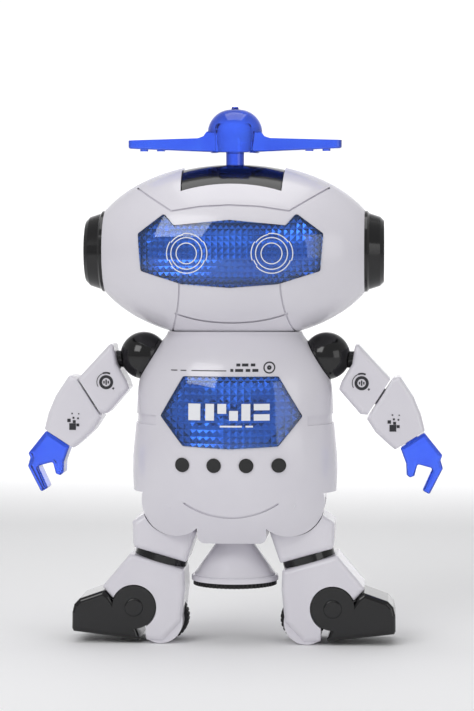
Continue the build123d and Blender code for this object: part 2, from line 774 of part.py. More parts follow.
def shin_sweep(shin_line):
    """Space that the shin's middle web crosses as the shoe tilts."""
    web_block = prism(shin_line, -web_half - 0.3, web_half + 0.3)
    pivot = Axis((ankle[0], 0, ankle[1]), (0, 1, 0))
    room = web_block
    for angle in (-2, -5, -8):
        room = room + web_block.rotate(pivot, angle)
    return room


# ---------------------------------------------------------------- spinning base
def make_base():
    """Cone, ring and plate on a shaft, with the carriage that lowers them."""
    with BuildPart() as cone:
        with BuildSketch(Plane.XZ):
            with BuildLine():
                Polyline(
                    (spin_radius, cone_top),
                    (cone_top_radius - 1, cone_top),
                    (cone_top_radius, cone_top - 0.8),
                    (17.0, flange_top + 0.6),
                    (17.0, flange_top),
                    (flange_radius - 0.5, flange_top),
                    (flange_radius, flange_top - 0.5),
                    (flange_radius, 25.8),
                    (spin_radius, 25.8),
                    close=True,
                )
            make_face()
        revolve(axis=Axis.Z)
    save(cone.part, "base_cone")
    with BuildPart() as ring:
        with BuildSketch(Plane.XY.offset(grip_low)):
            Circle(17.6)
            with PolarLocations(17.6, 60):
                Rectangle(1.2, 0.8, mode=Mode.SUBTRACT)
            Circle(14.5, mode=Mode.SUBTRACT)
        extrude(amount=2)
    save(ring.part, "grip_ring")
    with BuildPart() as plate:
        with BuildSketch(Plane.XY.offset(24.4)):
            Circle(14.5)
        extrude(amount=1.4)
    save(plate.part, "base_plate")
    spin_shaft = rod_z(0, 0, spin_radius, 25.8, 82.5) + rod_z(0, 0, 4.2, 82.5, 83.7)
    save(spin_shaft, "spin_shaft")
    drive_y = -module * (spin_gear_teeth + spin_pinion_teeth) / 2
    middle = Plane(origin=(0, 0, spin_gear_low), x_dir=(0, -1, 0), z_dir=(0, 0, 1))
    beside = Plane(origin=(0, drive_y, spin_gear_low), x_dir=(0, -1, 0), z_dir=(0, 0, 1))
    save(gear(spin_gear_teeth, middle, spin_gear_width, spin_radius), "spin_gear")
    save(gear(spin_pinion_teeth, beside, spin_gear_width, 1.0), "spin_pinion")
    motor = rod_z(0, drive_y, spin_motor_radius, 81.0, 95.5)
    motor = motor + rod_z(0, drive_y, 0.95, spin_gear_low - 0.2, 81.0)
    save(motor, "spin_motor")
    carriage = slab(-6.5, 6.5, -14.4, 6.5, 78.5, 80.8)
    carriage = carriage - rod_z(0, 0, spin_radius + fit, 70, 90) - rod_z(0, drive_y, 1.3, 70, 90)
    save(carriage, "lift_carriage")


head_screws = make_head()
make_rotor()
make_torso(head_screws)
make_torso_insides()
make_arm()
make_leg()
make_base()
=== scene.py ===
"""Looks of the dancing toy robot: finishes on its moulded pieces, and the prints and facets on them."""

import json
import logging
import math
from dataclasses import dataclass, field
from enum import Enum
from typing import Any, Callable

import bpy
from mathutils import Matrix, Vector

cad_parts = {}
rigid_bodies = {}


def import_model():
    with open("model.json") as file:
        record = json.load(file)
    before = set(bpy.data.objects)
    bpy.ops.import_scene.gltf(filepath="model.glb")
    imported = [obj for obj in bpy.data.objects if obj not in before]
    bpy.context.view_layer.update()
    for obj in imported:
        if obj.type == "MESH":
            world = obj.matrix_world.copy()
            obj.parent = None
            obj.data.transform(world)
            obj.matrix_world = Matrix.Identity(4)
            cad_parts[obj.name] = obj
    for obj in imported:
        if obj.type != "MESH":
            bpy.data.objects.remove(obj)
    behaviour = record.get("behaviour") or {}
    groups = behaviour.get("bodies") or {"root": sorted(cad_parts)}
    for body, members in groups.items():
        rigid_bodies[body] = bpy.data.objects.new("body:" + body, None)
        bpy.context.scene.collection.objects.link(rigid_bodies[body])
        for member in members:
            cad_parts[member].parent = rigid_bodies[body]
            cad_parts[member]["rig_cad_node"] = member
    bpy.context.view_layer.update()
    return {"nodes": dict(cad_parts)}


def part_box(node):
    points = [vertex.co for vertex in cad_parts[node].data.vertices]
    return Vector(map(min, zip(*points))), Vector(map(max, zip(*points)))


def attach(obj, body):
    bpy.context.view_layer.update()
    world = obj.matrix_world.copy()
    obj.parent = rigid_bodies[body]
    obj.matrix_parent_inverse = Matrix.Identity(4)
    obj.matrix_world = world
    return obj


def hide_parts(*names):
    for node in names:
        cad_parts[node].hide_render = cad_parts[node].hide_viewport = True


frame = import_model()
NODES = frame["nodes"]

MM = 0.001
Point = tuple[float, float, float]

FULL_TURN = 360.0
UPRIGHT = (math.pi / 2, 0, 0)
# Prints start flat this far in front of the robot's middle before they are pressed on.
PRINT_START = 80.0
# Height of each reflector pyramid, and the thickness of the sheet under it.
FACET_RELIEF = 0.75
FACET_SHEET = 0.5

logging.basicConfig(level=logging.INFO, format="%(message)s")
log = logging.getLogger("toy_robot")


# ---------------------------------------------------------------- node helpers
def srgb(code: str) -> tuple[float, float, float, float]:
    """Turn a colour's hex code into linear light.

    Args:
        code: six hex digits with a leading hash.

    Returns:
        Linear red, green, blue and an alpha of 1.
    """
    channels = [int(code[i : i + 2], 16) / 255 for i in (1, 3, 5)]
    linear = [c / 12.92 if c <= 0.04045 else ((c + 0.055) / 1.055) ** 2.4 for c in channels]
    return (*linear, 1.0)


def add_node(
    tree: bpy.types.NodeTree, kind: str, settings: dict[str, Any], links: dict[str, Any]
) -> bpy.types.Node:
    """Add one shader node.

    Args:
        tree: the material's node tree.
        kind: the node's type name.
        settings: attributes, or input sockets by name, with their values.
        links: input sockets by name, with the output socket that feeds each.

    Returns:
        The new node.
    """
    node = tree.nodes.new(kind)
    for name, value in settings.items():
        if name in node.inputs:
            node.inputs[name].default_value = value
        else:
            setattr(node, name, value)
    for name, socket in links.items():
        tree.links.new(socket, node.inputs[name])
    return node


def add_noise(
    tree: bpy.types.NodeTree,
    place: bpy.types.NodeSocket,
    size_mm: float,
    detail: float,
    distortion: float = 0.0,
) -> bpy.types.NodeSocket:
    """Add a noise pattern of a given size.

    Args:
        tree: the material's node tree.
        place: the coordinates that it lies on.
        size_mm: size of its patches in millimetres.
        detail: how many finer layers it has.
        distortion: how much it swirls.

    Returns:
        The pattern's output.
    """
    settings = {"Scale": 1 / (size_mm * MM), "Detail": detail, "Distortion": distortion}
    return add_node(tree, "ShaderNodeTexNoise", settings, {"Vector": place}).outputs["Fac"]


def mix_shades(
    tree: bpy.types.NodeTree, shader: bpy.types.Node, pattern: bpy.types.NodeSocket, colour: str, shade: str
) -> None:
    """Colour a shader with two shades that follow a pattern.

    Args:
        tree: the material's node tree.
        shader: its principled shader.
        pattern: the pattern between the shades.
        colour: hex code where the pattern is low.
        shade: hex code where the pattern is high.
    """
    tint = add_node(tree, "ShaderNodeMix", {"data_type": "RGBA"}, {})
    factor, first, second, result = tint.inputs[0], tint.inputs[6], tint.inputs[7], tint.outputs[2]
    first.default_value = srgb(colour)
    second.default_value = srgb(shade)
    tree.links.new(pattern, factor)
    tree.links.new(result, shader.inputs["Base Color"])


def vary_gloss(
    tree: bpy.types.NodeTree, shader: bpy.types.Node, pattern: bpy.types.NodeSocket, low: float, high: float
) -> None:
    """Let a shader's roughness follow a pattern.

    Args:
        tree: the material's node tree.
        shader: its principled shader.
        pattern: the pattern.
        low: roughness where the pattern is low.
        high: roughness where the pattern is high.
    """
    gloss = add_node(tree, "ShaderNodeMapRange", {"To Min": low, "To Max": high}, {"Value": pattern})
    tree.links.new(gloss.outputs["Result"], shader.inputs["Roughness"])


def raise_bumps(
    tree: bpy.types.NodeTree,
    shader: bpy.types.Node,
    pattern: bpy.types.NodeSocket,
    height_mm: float,
    strength: float,
) -> None:
    """Ripple a shader's surface with a pattern.

    Args:
        tree: the material's node tree.
        shader: its principled shader.
        pattern: the pattern.
        height_mm: height of the ripples in millimetres.
        strength: how much of that height is shown.
    """
    settings = {"Strength": strength, "Distance": height_mm * MM}
    bump = add_node(tree, "ShaderNodeBump", settings, {"Height": pattern})
    tree.links.new(bump.outputs["Normal"], shader.inputs["Normal"])


def new_material(name: str) -> tuple[bpy.types.Material, bpy.types.NodeTree, bpy.types.Node]:
    """Start a material with a bare principled shader.

    Args:
        name: the material's name.

    Returns:
        The material, its node tree and its shader node.
    """
    material = bpy.data.materials.new(name)
    material.use_nodes = True
    tree = material.node_tree
    tree.nodes.clear()
    shader = add_node(tree, "ShaderNodeBsdfPrincipled", {}, {})
    add_node(tree, "ShaderNodeOutputMaterial", {}, {"Surface": shader.outputs["BSDF"]})
    return material, tree, shader


# ---------------------------------------------------------------- finishes
class Slot(Enum):
    """The record's material slots."""

    WHITE = "white_shell"
    BLACK = "black_gloss"
    BLUE = "blue_clear"
    FOIL = "facet_foil"
    RUBBER = "black_rubber"
    GREY = "grey_plastic"
    BOARD = "board"
    NYLON = "nylon"
    STEEL = "steel"
    CELL = "cell"


@dataclass(frozen=True)
class Moulded:
    """An opaque injection-moulded plastic or rubber: a fine orange peel and slow changes of shade."""

    name: str
    colour: str
    shade: str
    slot: Slot
    roughness: float = 0.3
    ior: float = 1.54
    coat: float = 0.0
    coat_roughness: float = 0.04
    peel_mm: float = 1.6
    peel_height: float = 0.02
    peel_strength: float = 0.35
    shade_mm: float = 30.0
    scuff_mm: float = 7.0

    def build(self) -> bpy.types.Material:
        """Make the material.

        Returns:
            A material with a broad mix of two shades, varied gloss and a fine surface ripple.
        """
        material, tree, shader = new_material(self.name)
        place = add_node(tree, "ShaderNodeTexCoord", {}, {}).outputs["Object"]
        mix_shades(tree, shader, add_noise(tree, place, self.shade_mm, 3.0), self.colour, self.shade)
        scuff = add_noise(tree, place, self.scuff_mm, 6.0)
        vary_gloss(tree, shader, scuff, self.roughness * 0.85, self.roughness * 1.2)
        peel = add_noise(tree, place, self.peel_mm, 2.0)
        raise_bumps(tree, shader, peel, self.peel_height, self.peel_strength)
        shader.inputs["IOR"].default_value = self.ior
        shader.inputs["Coat Weight"].default_value = self.coat
        shader.inputs["Coat Roughness"].default_value = self.coat_roughness
        return material


@dataclass(frozen=True)
class Clear:
    """Tinted clear polycarbonate: light passes in and comes out coloured."""

    name: str
    colour: str
    deep: str
    slot: Slot
    transmission: float = 0.75
    roughness: float = 0.06
    ior: float = 1.58
    flow_mm: float = 16.0
    flow_swirl: float = 1.2
    flow_height: float = 0.02
    flow_strength: float = 0.2

    def build(self) -> bpy.types.Material:
        """Make the material.

        Returns:
            A see-through plastic with faint flow marks in its gloss and tint.
        """
        material, tree, shader = new_material(self.name)
        place = add_node(tree, "ShaderNodeTexCoord", {}, {}).outputs["Object"]
        flow = add_noise(tree, place, self.flow_mm, 2.0, self.flow_swirl)
        mix_shades(tree, shader, flow, self.colour, self.deep)
        vary_gloss(tree, shader, flow, self.roughness * 0.6, self.roughness * 1.6)
        raise_bumps(tree, shader, flow, self.flow_height, self.flow_strength)
        shader.inputs["IOR"].default_value = self.ior
        shader.inputs["Transmission Weight"].default_value = self.transmission
        return material


@dataclass(frozen=True)
class Metal:
    """A plated, drawn or vacuum-coated metal surface."""

    name: str
    colour: str
    shade: str
    slot: Slot
    roughness: float = 0.3
    grain_mm: float = 0.5
    stretch: Point = (1.0, 1.0, 0.08)

    def build(self) -> bpy.types.Material:
        """Make the material.

        Returns:
            A metal whose gloss and shade run in fine lines along one axis.
        """
        material, tree, shader = new_material(self.name)
        place = add_node(tree, "ShaderNodeTexCoord", {}, {}).outputs["Object"]
        along = add_node(tree, "ShaderNodeMapping", {"Scale": self.stretch}, {"Vector": place})
        grain = add_noise(tree, along.outputs["Vector"], self.grain_mm, 3.0)
        mix_shades(tree, shader, grain, self.colour, self.shade)
        vary_gloss(tree, shader, grain, self.roughness * 0.7, self.roughness * 1.3)
        shader.inputs["Metallic"].default_value = 1.0
        return material


# White ABS shell: bright, faintly violet, with the soft sheen of a polished mould.
WHITE_ABS = Moulded("white_abs", "#E6E4EA", "#DAD7E0", Slot.WHITE, roughness=0.24, coat=0.25)
# Piano-black ABS: deep and mirror-like, so it shows the lights as sharp bars.
BLACK_ABS = Moulded("piano_black_abs", "#08080A", "#0E0E10", Slot.BLACK, roughness=0.12, coat=0.0)
# Moulded rubber: nearly black with no shine.
RUBBER = Moulded(
    "moulded_rubber", "#1B1B1C", "#262627", Slot.RUBBER, roughness=0.72, ior=1.5, peel_mm=0.6, peel_height=0.06
)
# Plain grey ABS straight from a spark-eroded mould: dull and even.
GREY_ABS = Moulded(
    "spark_grey_abs", "#4C4C52", "#3F3F45", Slot.GREY, roughness=0.5, peel_mm=0.5, peel_height=0.05
)
# Solder mask over glass laminate: a wet green with darker patches of copper under it.
SOLDER_MASK = Moulded("solder_mask", "#0C5A2C", "#073D1E", Slot.BOARD, roughness=0.25, shade_mm=4.0)
# Natural nylon: milky and waxy.
NYLON = Moulded("natural_nylon", "#E2DECF", "#D3CDBB", Slot.NYLON, roughness=0.42, ior=1.53)
# Shrink-wrapped cell can: smooth dark print.
CELL_WRAP = Moulded("cell_wrap", "#20222A", "#15161B", Slot.CELL, roughness=0.28, coat=0.3)
# White pad-printing ink: flat and slightly raised.
WHITE_INK = Moulded("white_pad_ink", "#F4F5F8", "#E9EBF2", Slot.WHITE, roughness=0.45, peel_mm=0.4)
# Near-black pad-printing ink for the small marks on the shells.
DARK_INK = Moulded("dark_pad_ink", "#2A2A31", "#202026", Slot.BLACK, roughness=0.45, peel_mm=0.4)
# Royal blue polycarbonate of the rotor and claws: bright where thin, violet where deep.
BLUE_PC = Clear(
    "royal_blue_polycarbonate", "#3F6FF2", "#2C4BE4", Slot.BLUE, transmission=0.93, roughness=0.03
)
# The same plastic in the thin lenses.
BLUE_LENS = Clear("royal_blue_lens", "#7FB4F8", "#6FA2F2", Slot.BLUE, transmission=0.95, roughness=0.02)
# Vacuum-coated facets behind the lenses.
FOIL = Metal(
    "vacuum_coat", "#F0F2F6", "#DDE2EA", Slot.FOIL, roughness=0.16, grain_mm=3.0, stretch=(1.0, 1.0, 1.0)
)
# Nickel-plated steel of screws, shafts and motor cans.
NICKEL = Metal("nickel_plate", "#B9B7B2", "#9C9A96", Slot.STEEL, roughness=0.28)

FINISHES = (
    WHITE_ABS,
    BLACK_ABS,
    RUBBER,
    GREY_ABS,
    SOLDER_MASK,
    NYLON,
    CELL_WRAP,
    WHITE_INK,
    DARK_INK,
    BLUE_PC,
    BLUE_LENS,
    FOIL,
    NICKEL,
)


class Paintbox:
    """Every finish, made once and shared by the pieces that wear it."""

    def __init__(self) -> None:
        """Build each finish."""
        self.materials = {finish.name: finish.build() for finish in FINISHES}

    def dress(self, piece: bpy.types.Object, finish: Any) -> None:
        """Give a piece one finish all over.

        Args:
            piece: a new piece or a carried-over node.
            finish: one of the finishes above.
        """
        piece.data.materials.clear()
        piece.data.materials.append(self.materials[finish.name])

    def dress_nodes(self, finish: Any, *names: str) -> None:
        """Give carried-over nodes one finish.

        Args:
            finish: one of the finishes above.
            names: the nodes' names.
        """
        for name in names:
            self.dress(NODES[name], finish)


# ---------------------------------------------------------------- places of CAD nodes
def centre_of(node: str) -> Vector:
    """Middle of a node's box in millimetres.

    Args:
        node: a CAD node's name.

    Returns:
        Its box's centre.
    """
    low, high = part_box(node)
    return (low + high) / 2 / MM


def size_of(node: str) -> Vector:
    """Size of a node's box in millimetres.

    Args:
        node: a CAD node's name.

    Returns:
        Its box's extent along each axis.
    """
    low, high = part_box(node)
    return (high - low) / MM


# ---------------------------------------------------------------- modelling helpers
def start_fresh() -> None:
    """Leave edit mode and deselect everything."""
    if bpy.context.object and bpy.context.object.mode != "OBJECT":
        bpy.ops.object.mode_set(mode="OBJECT")
    bpy.ops.object.select_all(action="DESELECT")


def activate(piece: bpy.types.Object) -> None:
    """Make one piece the only selected and active one.

    Args:
        piece: the piece.
    """
    start_fresh()
    piece.select_set(True)
    bpy.context.view_layer.objects.active = piece


def name_new(name: str) -> bpy.types.Object:
    """Name the object that an operator has just added.

    Args:
        name: the piece's name.

    Returns:
        The active object.
    """
    piece = bpy.context.object
    piece.name = name
    piece.data.name = name
    return piece


def in_edit(piece: bpy.types.Object, mode: str = "FACE") -> None:
    """Open one piece in edit mode with nothing selected.

    Args:
        piece: the piece to edit.
        mode: VERT, EDGE or FACE.
    """
    activate(piece)
    bpy.ops.object.mode_set(mode="EDIT")
    bpy.ops.mesh.select_mode(type=mode)
    bpy.ops.mesh.select_all(action="DESELECT")


def pick_faces(piece: bpy.types.Object, test: Callable[[Vector, Vector], bool]) -> int:
    """Select faces by place and normal, from edit mode.

    Args:
        piece: the piece in edit mode.
        test: takes a face's centre and normal.

    Returns:
        How many faces were picked.
    """
    bpy.ops.object.mode_set(mode="OBJECT")
    picked = 0
    for face in piece.data.polygons:
        face.select = test(face.center, face.normal)
        picked += face.select
    bpy.ops.object.mode_set(mode="EDIT")
    return picked


def seat(piece: bpy.types.Object) -> bpy.types.Object:
    """Put a piece's place, turn and size into its mesh.

    Args:
        piece: the piece.

    Returns:
        The same piece, its object at the origin.
    """
    activate(piece)
    bpy.ops.object.transform_apply(location=True, rotation=True, scale=True)
    return piece


def modify(piece: bpy.types.Object, kind: str, **settings: Any) -> None:
    """Add a modifier and apply it.

    Args:
        piece: the piece.
        kind: the modifier's type name.
        settings: its attributes.
    """
    activate(piece)
    modifier = piece.modifiers.new(kind.lower(), kind)
    for name, value in settings.items():
        setattr(modifier, name, value)
    bpy.ops.object.modifier_apply(modifier=modifier.name)


def joined(pieces: list[bpy.types.Object], name: str) -> bpy.types.Object:
    """Join pieces into the first of them.

    Args:
        pieces: seated pieces.
        name: the joined piece's name.

    Returns:
        The joined piece.
    """
    start_fresh()
    for piece in pieces:
        piece.select_set(True)
    bpy.context.view_layer.objects.active = pieces[0]
    if len(pieces) > 1:
        bpy.ops.object.join()
    return name_new(name)


def fit_print(piece: bpy.types.Object, host: str, thick: float = 0.12, lift: float = 0.02) -> None:
    """Press a flat mark onto a node's front and give it the thickness of ink.

    Args:
        piece: a flat mesh that stands in front of the node, facing -Y.
        host: the node that it is printed on.
        thick: ink height in millimetres.
        lift: gap under the ink in millimetres.
    """
    modify(
        piece,
        "SHRINKWRAP",
        target=NODES[host],
        wrap_method="PROJECT",
        use_project_x=False,
        use_project_y=True,
        use_project_z=False,
        use_negative_direction=False,
        use_positive_direction=True,
        offset=lift * MM,
    )
    modify(piece, "SOLIDIFY", thickness=thick * MM, offset=1.0)


def face_front(piece: bpy.types.Object) -> bpy.types.Object:
    """Turn a flat mesh's faces to the front (-Y).

    Args:
        piece: a flat mesh.

    Returns:
        The same piece.
    """
    in_edit(piece)
    if pick_faces(piece, lambda centre, normal: normal.y > 0):
        bpy.ops.mesh.flip_normals()
    bpy.ops.object.mode_set(mode="OBJECT")
    return piece


def flat_ring(
    name: str, x: float, z: float, inner: float, outer: float, start: float = 0.0, sweep: float = FULL_TURN
) -> bpy.types.Object:
    """Flat ring or arc facing the front, far in front of the robot.

    Args:
        name: the piece's name.
        x: centre across, in millimetres.
        z: centre height, in millimetres.
        inner: inner radius in millimetres.
        outer: outer radius in millimetres.
        start: first angle in degrees, from +X towards +Z.
        sweep: how far the arc goes, in degrees.

    Returns:
        The seated flat mesh.
    """
    start_fresh()
    steps = max(6, round(72 * sweep / FULL_TURN))
    bpy.ops.mesh.primitive_plane_add(size=1, location=(0, 0, 0))
    piece = name_new(name)
    bpy.ops.object.mode_set(mode="EDIT")
    bpy.ops.mesh.select_mode(type="VERT")
    bpy.ops.mesh.select_all(action="SELECT")
    bpy.ops.mesh.merge(type="CENTER")
    bpy.ops.transform.translate(value=(inner * MM, 0, 0))
    bpy.ops.mesh.extrude_region_move(TRANSFORM_OT_translate={"value": ((outer - inner) * MM, 0, 0)})
    bpy.ops.mesh.select_all(action="SELECT")
    bpy.ops.transform.rotate(value=-math.radians(start), orient_axis="Y", center_override=(0, 0, 0))
    bpy.ops.mesh.spin(
        steps=steps,
        angle=math.radians(sweep),
        center=(0, 0, 0),
        axis=(0, -1, 0),
        use_auto_merge=sweep >= FULL_TURN,
    )
    bpy.ops.mesh.select_all(action="SELECT")
    bpy.ops.mesh.remove_doubles(threshold=0.01 * MM)
    bpy.ops.object.mode_set(mode="OBJECT")
    piece.location = (x * MM, -PRINT_START * MM, z * MM)
    return face_front(seat(piece))


def flat_panel(name: str, x: float, z: float, wide: float, high: float, cuts: int = 3) -> bpy.types.Object:
    """Flat rectangular mark facing the front, far in front of the robot.

    Args:
        name: the piece's name.
        x: centre across, in millimetres.
        z: centre height, in millimetres.
        wide: width in millimetres.
        high: height in millimetres.
        cuts: how many times its sides are divided, so that it can bend.

    Returns:
        The seated flat mesh.
    """
    start_fresh()
    bpy.ops.mesh.primitive_plane_add(size=1, location=(0, 0, 0), rotation=UPRIGHT)
    piece = name_new(name)
    bpy.ops.object.transform_apply(location=False, rotation=True, scale=False)
    bpy.ops.object.mode_set(mode="EDIT")
    bpy.ops.mesh.select_all(action="SELECT")
    bpy.ops.transform.resize(value=(wide * MM, 1, high * MM))
    bpy.ops.mesh.subdivide(number_cuts=cuts)
    bpy.ops.object.mode_set(mode="OBJECT")
    piece.location = (x * MM, -PRINT_START * MM, z * MM)
    return face_front(seat(piece))


def facet_sheet(
    name: str, node: str, columns: int, rows: int, depth: Callable[[float, float], float]
) -> bpy.types.Object:
    """Curved sheet of small pyramids, as behind a toy's clear lens.

    Args:
        name: the piece's name.
        node: the CAD node whose width, height and middle it takes.
        columns: pyramids across.
        rows: pyramids up.
        depth: gives the sheet's Y for a place in the front view, in millimetres.

    Returns:
        The seated sheet.
    """
    middle, size = centre_of(node), size_of(node)
    start_fresh()
    bpy.ops.mesh.primitive_grid_add(x_subdivisions=columns, y_subdivisions=rows, size=1, rotation=UPRIGHT)
    piece = name_new(name)
    bpy.ops.object.transform_apply(location=False, rotation=True, scale=False)
    for corner in piece.data.vertices:
        across = middle.x + corner.co.x * size.x
        up = middle.z + corner.co.z * size.z
        corner.co = Vector((across, depth(across, up), up)) * MM
    face_front(piece)
    in_edit(piece)
    bpy.ops.mesh.select_all(action="SELECT")
    bpy.ops.mesh.poke(offset=FACET_RELIEF * MM)
    bpy.ops.object.mode_set(mode="OBJECT")
    modify(piece, "SOLIDIFY", thickness=FACET_SHEET * MM, offset=-1.0)
    return seat(piece)


# ---------------------------------------------------------------- head
@dataclass
class Head:
    """Head shells, visor with its facets and printed eyes, crown plate and ears."""

    paint: Paintbox
    eye_spread: float = 17.3
    eye_height: float = 163.2
    rings: tuple[tuple[float, float], ...] = ((4.0, 4.4), (6.2, 6.6))
    steps: tuple[tuple[float, float, float], ...] = (
        (8.0, 20.0, 120.0),
        (7.6, 140.0, 20.0),
        (8.2, 160.0, 55.0),
        (7.7, 215.0, 45.0),
        (8.1, 260.0, 65.0),
        (8.5, 325.0, 55.0),
    )
    arc_width: float = 0.4
    facet_inset: float = 2.9
    shell_half_width: float = 61.5
    shell_bulge: float = 1.3

    def depth(self, x: float, z: float) -> float:
        """Y of a surface just inside the front shell.

        Args:
            x: place across in millimetres.
            z: height in millimetres.

        Returns:
            Depth in millimetres, negative towards the front.
        """
        size = size_of("head_front_shell")
        centre = centre_of("left_ear").z
        radius = size.z / 2 + self.shell_bulge - self.facet_inset
        half = self.shell_half_width - self.facet_inset
        return -math.sqrt(max(1.0, radius**2 * (1 - (x / half) ** 2) - (z - centre) ** 2))

    def dress(self) -> None:
        """Give the carried-over pieces their finishes."""
        self.paint.dress_nodes(WHITE_ABS, "head_front_shell", "head_rear_shell")
        self.paint.dress_nodes(BLACK_ABS, "crown_plate", "left_ear", "right_ear")
        self.paint.dress_nodes(BLUE_LENS, "visor_lens")
        self.paint.dress_nodes(SOLDER_MASK, "head_led_board")
        self.paint.dress_nodes(GREY_ABS, "neck_collar")
        self.paint.dress_nodes(NICKEL, "case_screws")

    def add_facets(self) -> bpy.types.Object:
        """Make the faceted reflector behind the visor.

        Returns:
            The reflector.
        """
        sheet = facet_sheet("visor_facets", "visor_reflector", 32, 13, self.depth)
        self.paint.dress(sheet, FOIL)
        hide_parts("visor_reflector")
        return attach(sheet, "body")

    def add_eye(self, side: int) -> bpy.types.Object:
        """Print one eye: two whole rings and a stepped outer one.

        Args:
            side: 1 for the robot's left, -1 for its right.

        Returns:
            The eye print.
        """
        x = side * self.eye_spread
        parts = [flat_ring("eye_ring", x, self.eye_height, *ring) for ring in self.rings]
        for radius, start, sweep in self.steps:
            inner, outer = radius - self.arc_width / 2, radius + self.arc_width / 2
            parts.append(flat_ring("eye_arc", x, self.eye_height, inner, outer, start=start, sweep=sweep))
        eye = joined(parts, f"{'left' if side > 0 else 'right'}_eye_print")
        fit_print(eye, "visor_lens")
        self.paint.dress(eye, WHITE_INK)
        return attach(eye, "body")

    def build(self) -> list[bpy.types.Object]:
        """Build the head's new pieces.

        Returns:
            The pieces.
        """
        self.dress()
        return [self.add_facets(), self.add_eye(1), self.add_eye(-1)]


# ---------------------------------------------------------------- rotor
@dataclass
class Rotor:
    """Clear dome with its two wings."""

    paint: Paintbox

    def build(self) -> list[bpy.types.Object]:
        """Dress the rotor and its clip.

        Returns:
            No new pieces.
        """
        self.paint.dress_nodes(BLUE_PC, "rotor")
        self.paint.dress_nodes(GREY_ABS, "rotor_clip")
        return []


# ---------------------------------------------------------------- torso
@dataclass
class Torso:
    """Torso shells, chest lens with facets and a block print, ports, door and inner pieces."""

    paint: Paintbox
    facet_inset: float = 3.0
    print_height: float = 116.0
    block_row: tuple[tuple[float, float, float, float], ...] = (
        (-14.6, 98.4, 5.0, 6.8),
        (-8.2, 98.4, 3.6, 6.8),
        (-3.2, 99.8, 3.6, 4.0),
        (1.6, 97.0, 3.6, 4.0),
        (6.6, 98.4, 3.6, 6.8),
        (13.0, 100.5, 6.4, 2.6),
        (13.0, 96.3, 6.4, 2.6),
        (0.5, 92.6, 9.0, 0.7),
        (8.0, 92.6, 3.0, 0.7),
    )
    dashes: tuple[tuple[float, float], ...] = ((-23.6, 2.7), (-19.6, 2.4), (-8.9, 14.5))
    dash_drop: float = 0.9
    dash_high: float = 0.35
    blocks: tuple[Point, ...] = (
        (3.2, 1.5, 1.6),
        (6.0, 1.5, 2.6),
        (9.2, 1.5, 1.8),
        (0.6, -0.7, 1.2),
        (3.6, -0.7, 3.2),
        (7.2, -0.7, 1.8),
        (10.2, -0.7, 2.4),
    )
    block_high: float = 1.1
    ring_place: tuple[float, float] = (15.8, 0.4)
    ring_radii: tuple[tuple[float, float], ...] = ((1.9, 2.4), (0.15, 0.9))
    wall: float = 1.6
    slope_start: float = 98.0
    slope: float = 0.0105

    def depth(self, x: float, z: float) -> float:
        """Y of a surface just inside the front shell at chest height.

        Args:
            x: place across in millimetres.
            z: height in millimetres.

        Returns:
            Depth in millimetres, negative towards the front.
        """
        half = size_of("torso_front_shell").x / 2 - self.wall - self.facet_inset
        front = -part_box("torso_front_shell")[0].y / MM - self.facet_inset
        fall = max(0.0, z - self.slope_start) ** 2 * self.slope
        return -(front - fall) * math.sqrt(max(0.02, 1 - (x / half) ** 2))

    def dress(self) -> None:
        """Give the carried-over pieces their finishes."""
        self.paint.dress_nodes(WHITE_ABS, "torso_front_shell", "torso_rear_shell", "battery_door")
        self.paint.dress_nodes(BLUE_LENS, "chest_lens")
        self.paint.dress_nodes(BLACK_ABS, "speaker_ports")
        self.paint.dress_nodes(GREY_ABS, "speaker", "switch_knob")
        self.paint.dress_nodes(SOLDER_MASK, "main_board", "chest_led_board")
        self.paint.dress_nodes(NICKEL, "arm_motor", "door_screw", "arm_shaft")
        self.paint.dress_nodes(NYLON, "arm_gear", "arm_pinion")
        self.paint.dress_nodes(CELL_WRAP, "battery_cells")

    def add_facets(self) -> bpy.types.Object:
        """Make the faceted reflector behind the chest lens.

        Returns:
            The reflector.
        """
        sheet = facet_sheet("chest_facets", "chest_reflector", 22, 11, self.depth)
        self.paint.dress(sheet, FOIL)
        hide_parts("chest_reflector")
        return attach(sheet, "body")

    def add_chest_print(self) -> bpy.types.Object:
        """Print a plain row of blocks across the chest lens.

        Returns:
            The print.
        """
        parts = [flat_panel("chest_block", x, z, wide, high) for x, z, wide, high in self.block_row]
        mark = joined(parts, "chest_block_print")
        fit_print(mark, "chest_lens")
        self.paint.dress(mark, WHITE_INK)
        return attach(mark, "body")

    def add_collar_print(self) -> bpy.types.Object:
        """Print a line of dashes, two rows of blocks and a ringed dot above the chest lens.

        Returns:
            The print.
        """
        dash_line = self.print_height - self.dash_drop
        parts = [flat_panel("collar_dash", x, dash_line, wide, self.dash_high) for x, wide in self.dashes]
        parts += [
            flat_panel("collar_block", x, self.print_height + rise, wide, self.block_high, cuts=1)
            for x, rise, wide in self.blocks
        ]
        across, rise = self.ring_place
        up = self.print_height + rise
        parts += [flat_ring("collar_ring", across, up, *radii) for radii in self.ring_radii]
        mark = joined(parts, "collar_print")
        fit_print(mark, "torso_front_shell")
        self.paint.dress(mark, DARK_INK)
        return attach(mark, "body")

    def build(self) -> list[bpy.types.Object]:
        """Build the torso's new pieces.

        Returns:
            The pieces.
        """
        self.dress()
        return [self.add_facets(), self.add_chest_print(), self.add_collar_print()]


# ---------------------------------------------------------------- limbs
class Side(Enum):
    """The robot's own sides, with the sign of X."""

    LEFT = 1
    RIGHT = -1


